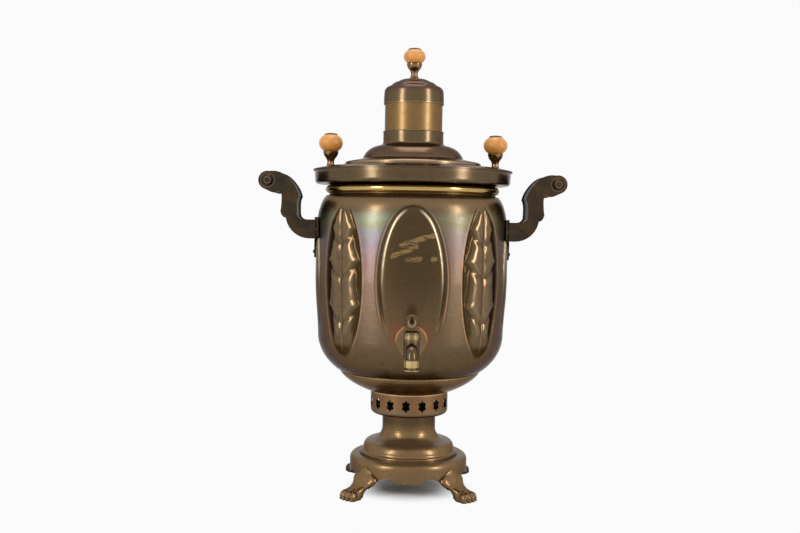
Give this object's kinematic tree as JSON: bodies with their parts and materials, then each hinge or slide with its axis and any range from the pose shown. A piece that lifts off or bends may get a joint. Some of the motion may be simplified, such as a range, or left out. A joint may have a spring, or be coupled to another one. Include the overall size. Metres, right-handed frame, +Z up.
{
  "type": "samovar",
  "caption": "Charcoal-fired brass samovar: embossed water body on a pedestal with lion-paw feet, lift-off lid and flue cap, curled handles and a turning plug tap",
  "frame": {"origin": "on the fire tube's axis, at the level of the four soles, so that the samovar stands on the plane z = 0", "axes": "+Z up along the fire tube, -Y the way the tap points, +X towards the right-hand handle as seen from the front"},
  "size_m": [0.3462, 0.2734, 0.5],
  "materials": {
    "brass_body": "tarnished sheet brass with a dull shine",
    "brass_dark": "dark patinated brass",
    "brass_bright": "polished turned brass",
    "brass_red": "reddish brown tarnished brass",
    "brass_copper": "coppery brass, satin",
    "iron": "rough black iron",
    "wood": "varnished turned beech",
    "leather": "greased leather"
  },
  "bodies": {
    "samovar": {"base_drum": "brass_body", "foot_front_left": "brass_body", "foot_front_right": "brass_body", "foot_rear_left": "brass_body", "foot_rear_right": "brass_body", "foot_screws": "iron", "pedestal": "brass_body", "ash_floor": "brass_dark", "air_ring": "brass_copper", "grate": "iron", "body_bowl": "brass_body", "body_wall": "brass_body", "bead_ring": "brass_bright", "top_collar": "brass_body", "fire_tube": "brass_bright", "handle_plate_left": "brass_dark", "handle_plate_right": "brass_dark", "handle_rivets_left": "brass_body", "handle_rivets_right": "brass_body", "handle_cheek_front_left": "brass_dark", "handle_cheek_front_right": "brass_dark", "handle_cheek_rear_left": "brass_dark", "handle_cheek_rear_right": "brass_dark", "handle_web_left": "brass_dark", "handle_web_right": "brass_dark", "handle_rod_left": "brass_dark", "handle_rod_right": "brass_dark", "handle_buttons_left": "brass_dark", "handle_buttons_right": "brass_dark", "tap_rosette": "brass_body", "tap_body": "brass_body", "tap_washer": "leather", "tap_nut": "brass_body"},
    "lid": {"lid_shell": "brass_red", "lid_rim": "brass_red", "lid_knob_stem_left": "brass_bright", "lid_knob_stem_right": "brass_bright", "lid_knob_wood_left": "wood", "lid_knob_wood_right": "wood", "lid_knob_bolt_left": "brass_dark", "lid_knob_bolt_right": "brass_dark", "lid_knob_nut_left": "brass_bright", "lid_knob_nut_right": "brass_bright", "steam_vent_tube": "brass_body"},
    "cap": {"cap_shell": "brass_red", "cap_knob_stem": "brass_bright", "cap_knob_wood": "wood", "cap_knob_bolt": "brass_dark", "cap_knob_nut": "brass_bright"},
    "tap_key": {"tap_key": "brass_body"},
    "steam_vent_cap": {"steam_vent_cap": "brass_body"}
  },
  "joints": [
    {"name": "lid_lift", "type": "slide", "parent": "samovar", "child": "lid", "axis": [0, 0, 1], "range_m": [0, 0.11]},
    {"name": "cap_lift", "type": "slide", "parent": "lid", "child": "cap", "axis": [0, 0, 1], "range_m": [0, 0.06]},
    {"name": "tap_turn", "type": "hinge", "parent": "samovar", "child": "tap_key", "pos_m": [0, -0.134, 0.174], "axis": [0, 0, 1], "continuous": true},
    {"name": "steam_vent_turn", "type": "hinge", "parent": "lid", "child": "steam_vent_cap", "pos_m": [0, 0.094, 0.37], "axis": [0, 0, 1], "range_deg": [0, 60]}
  ]
}
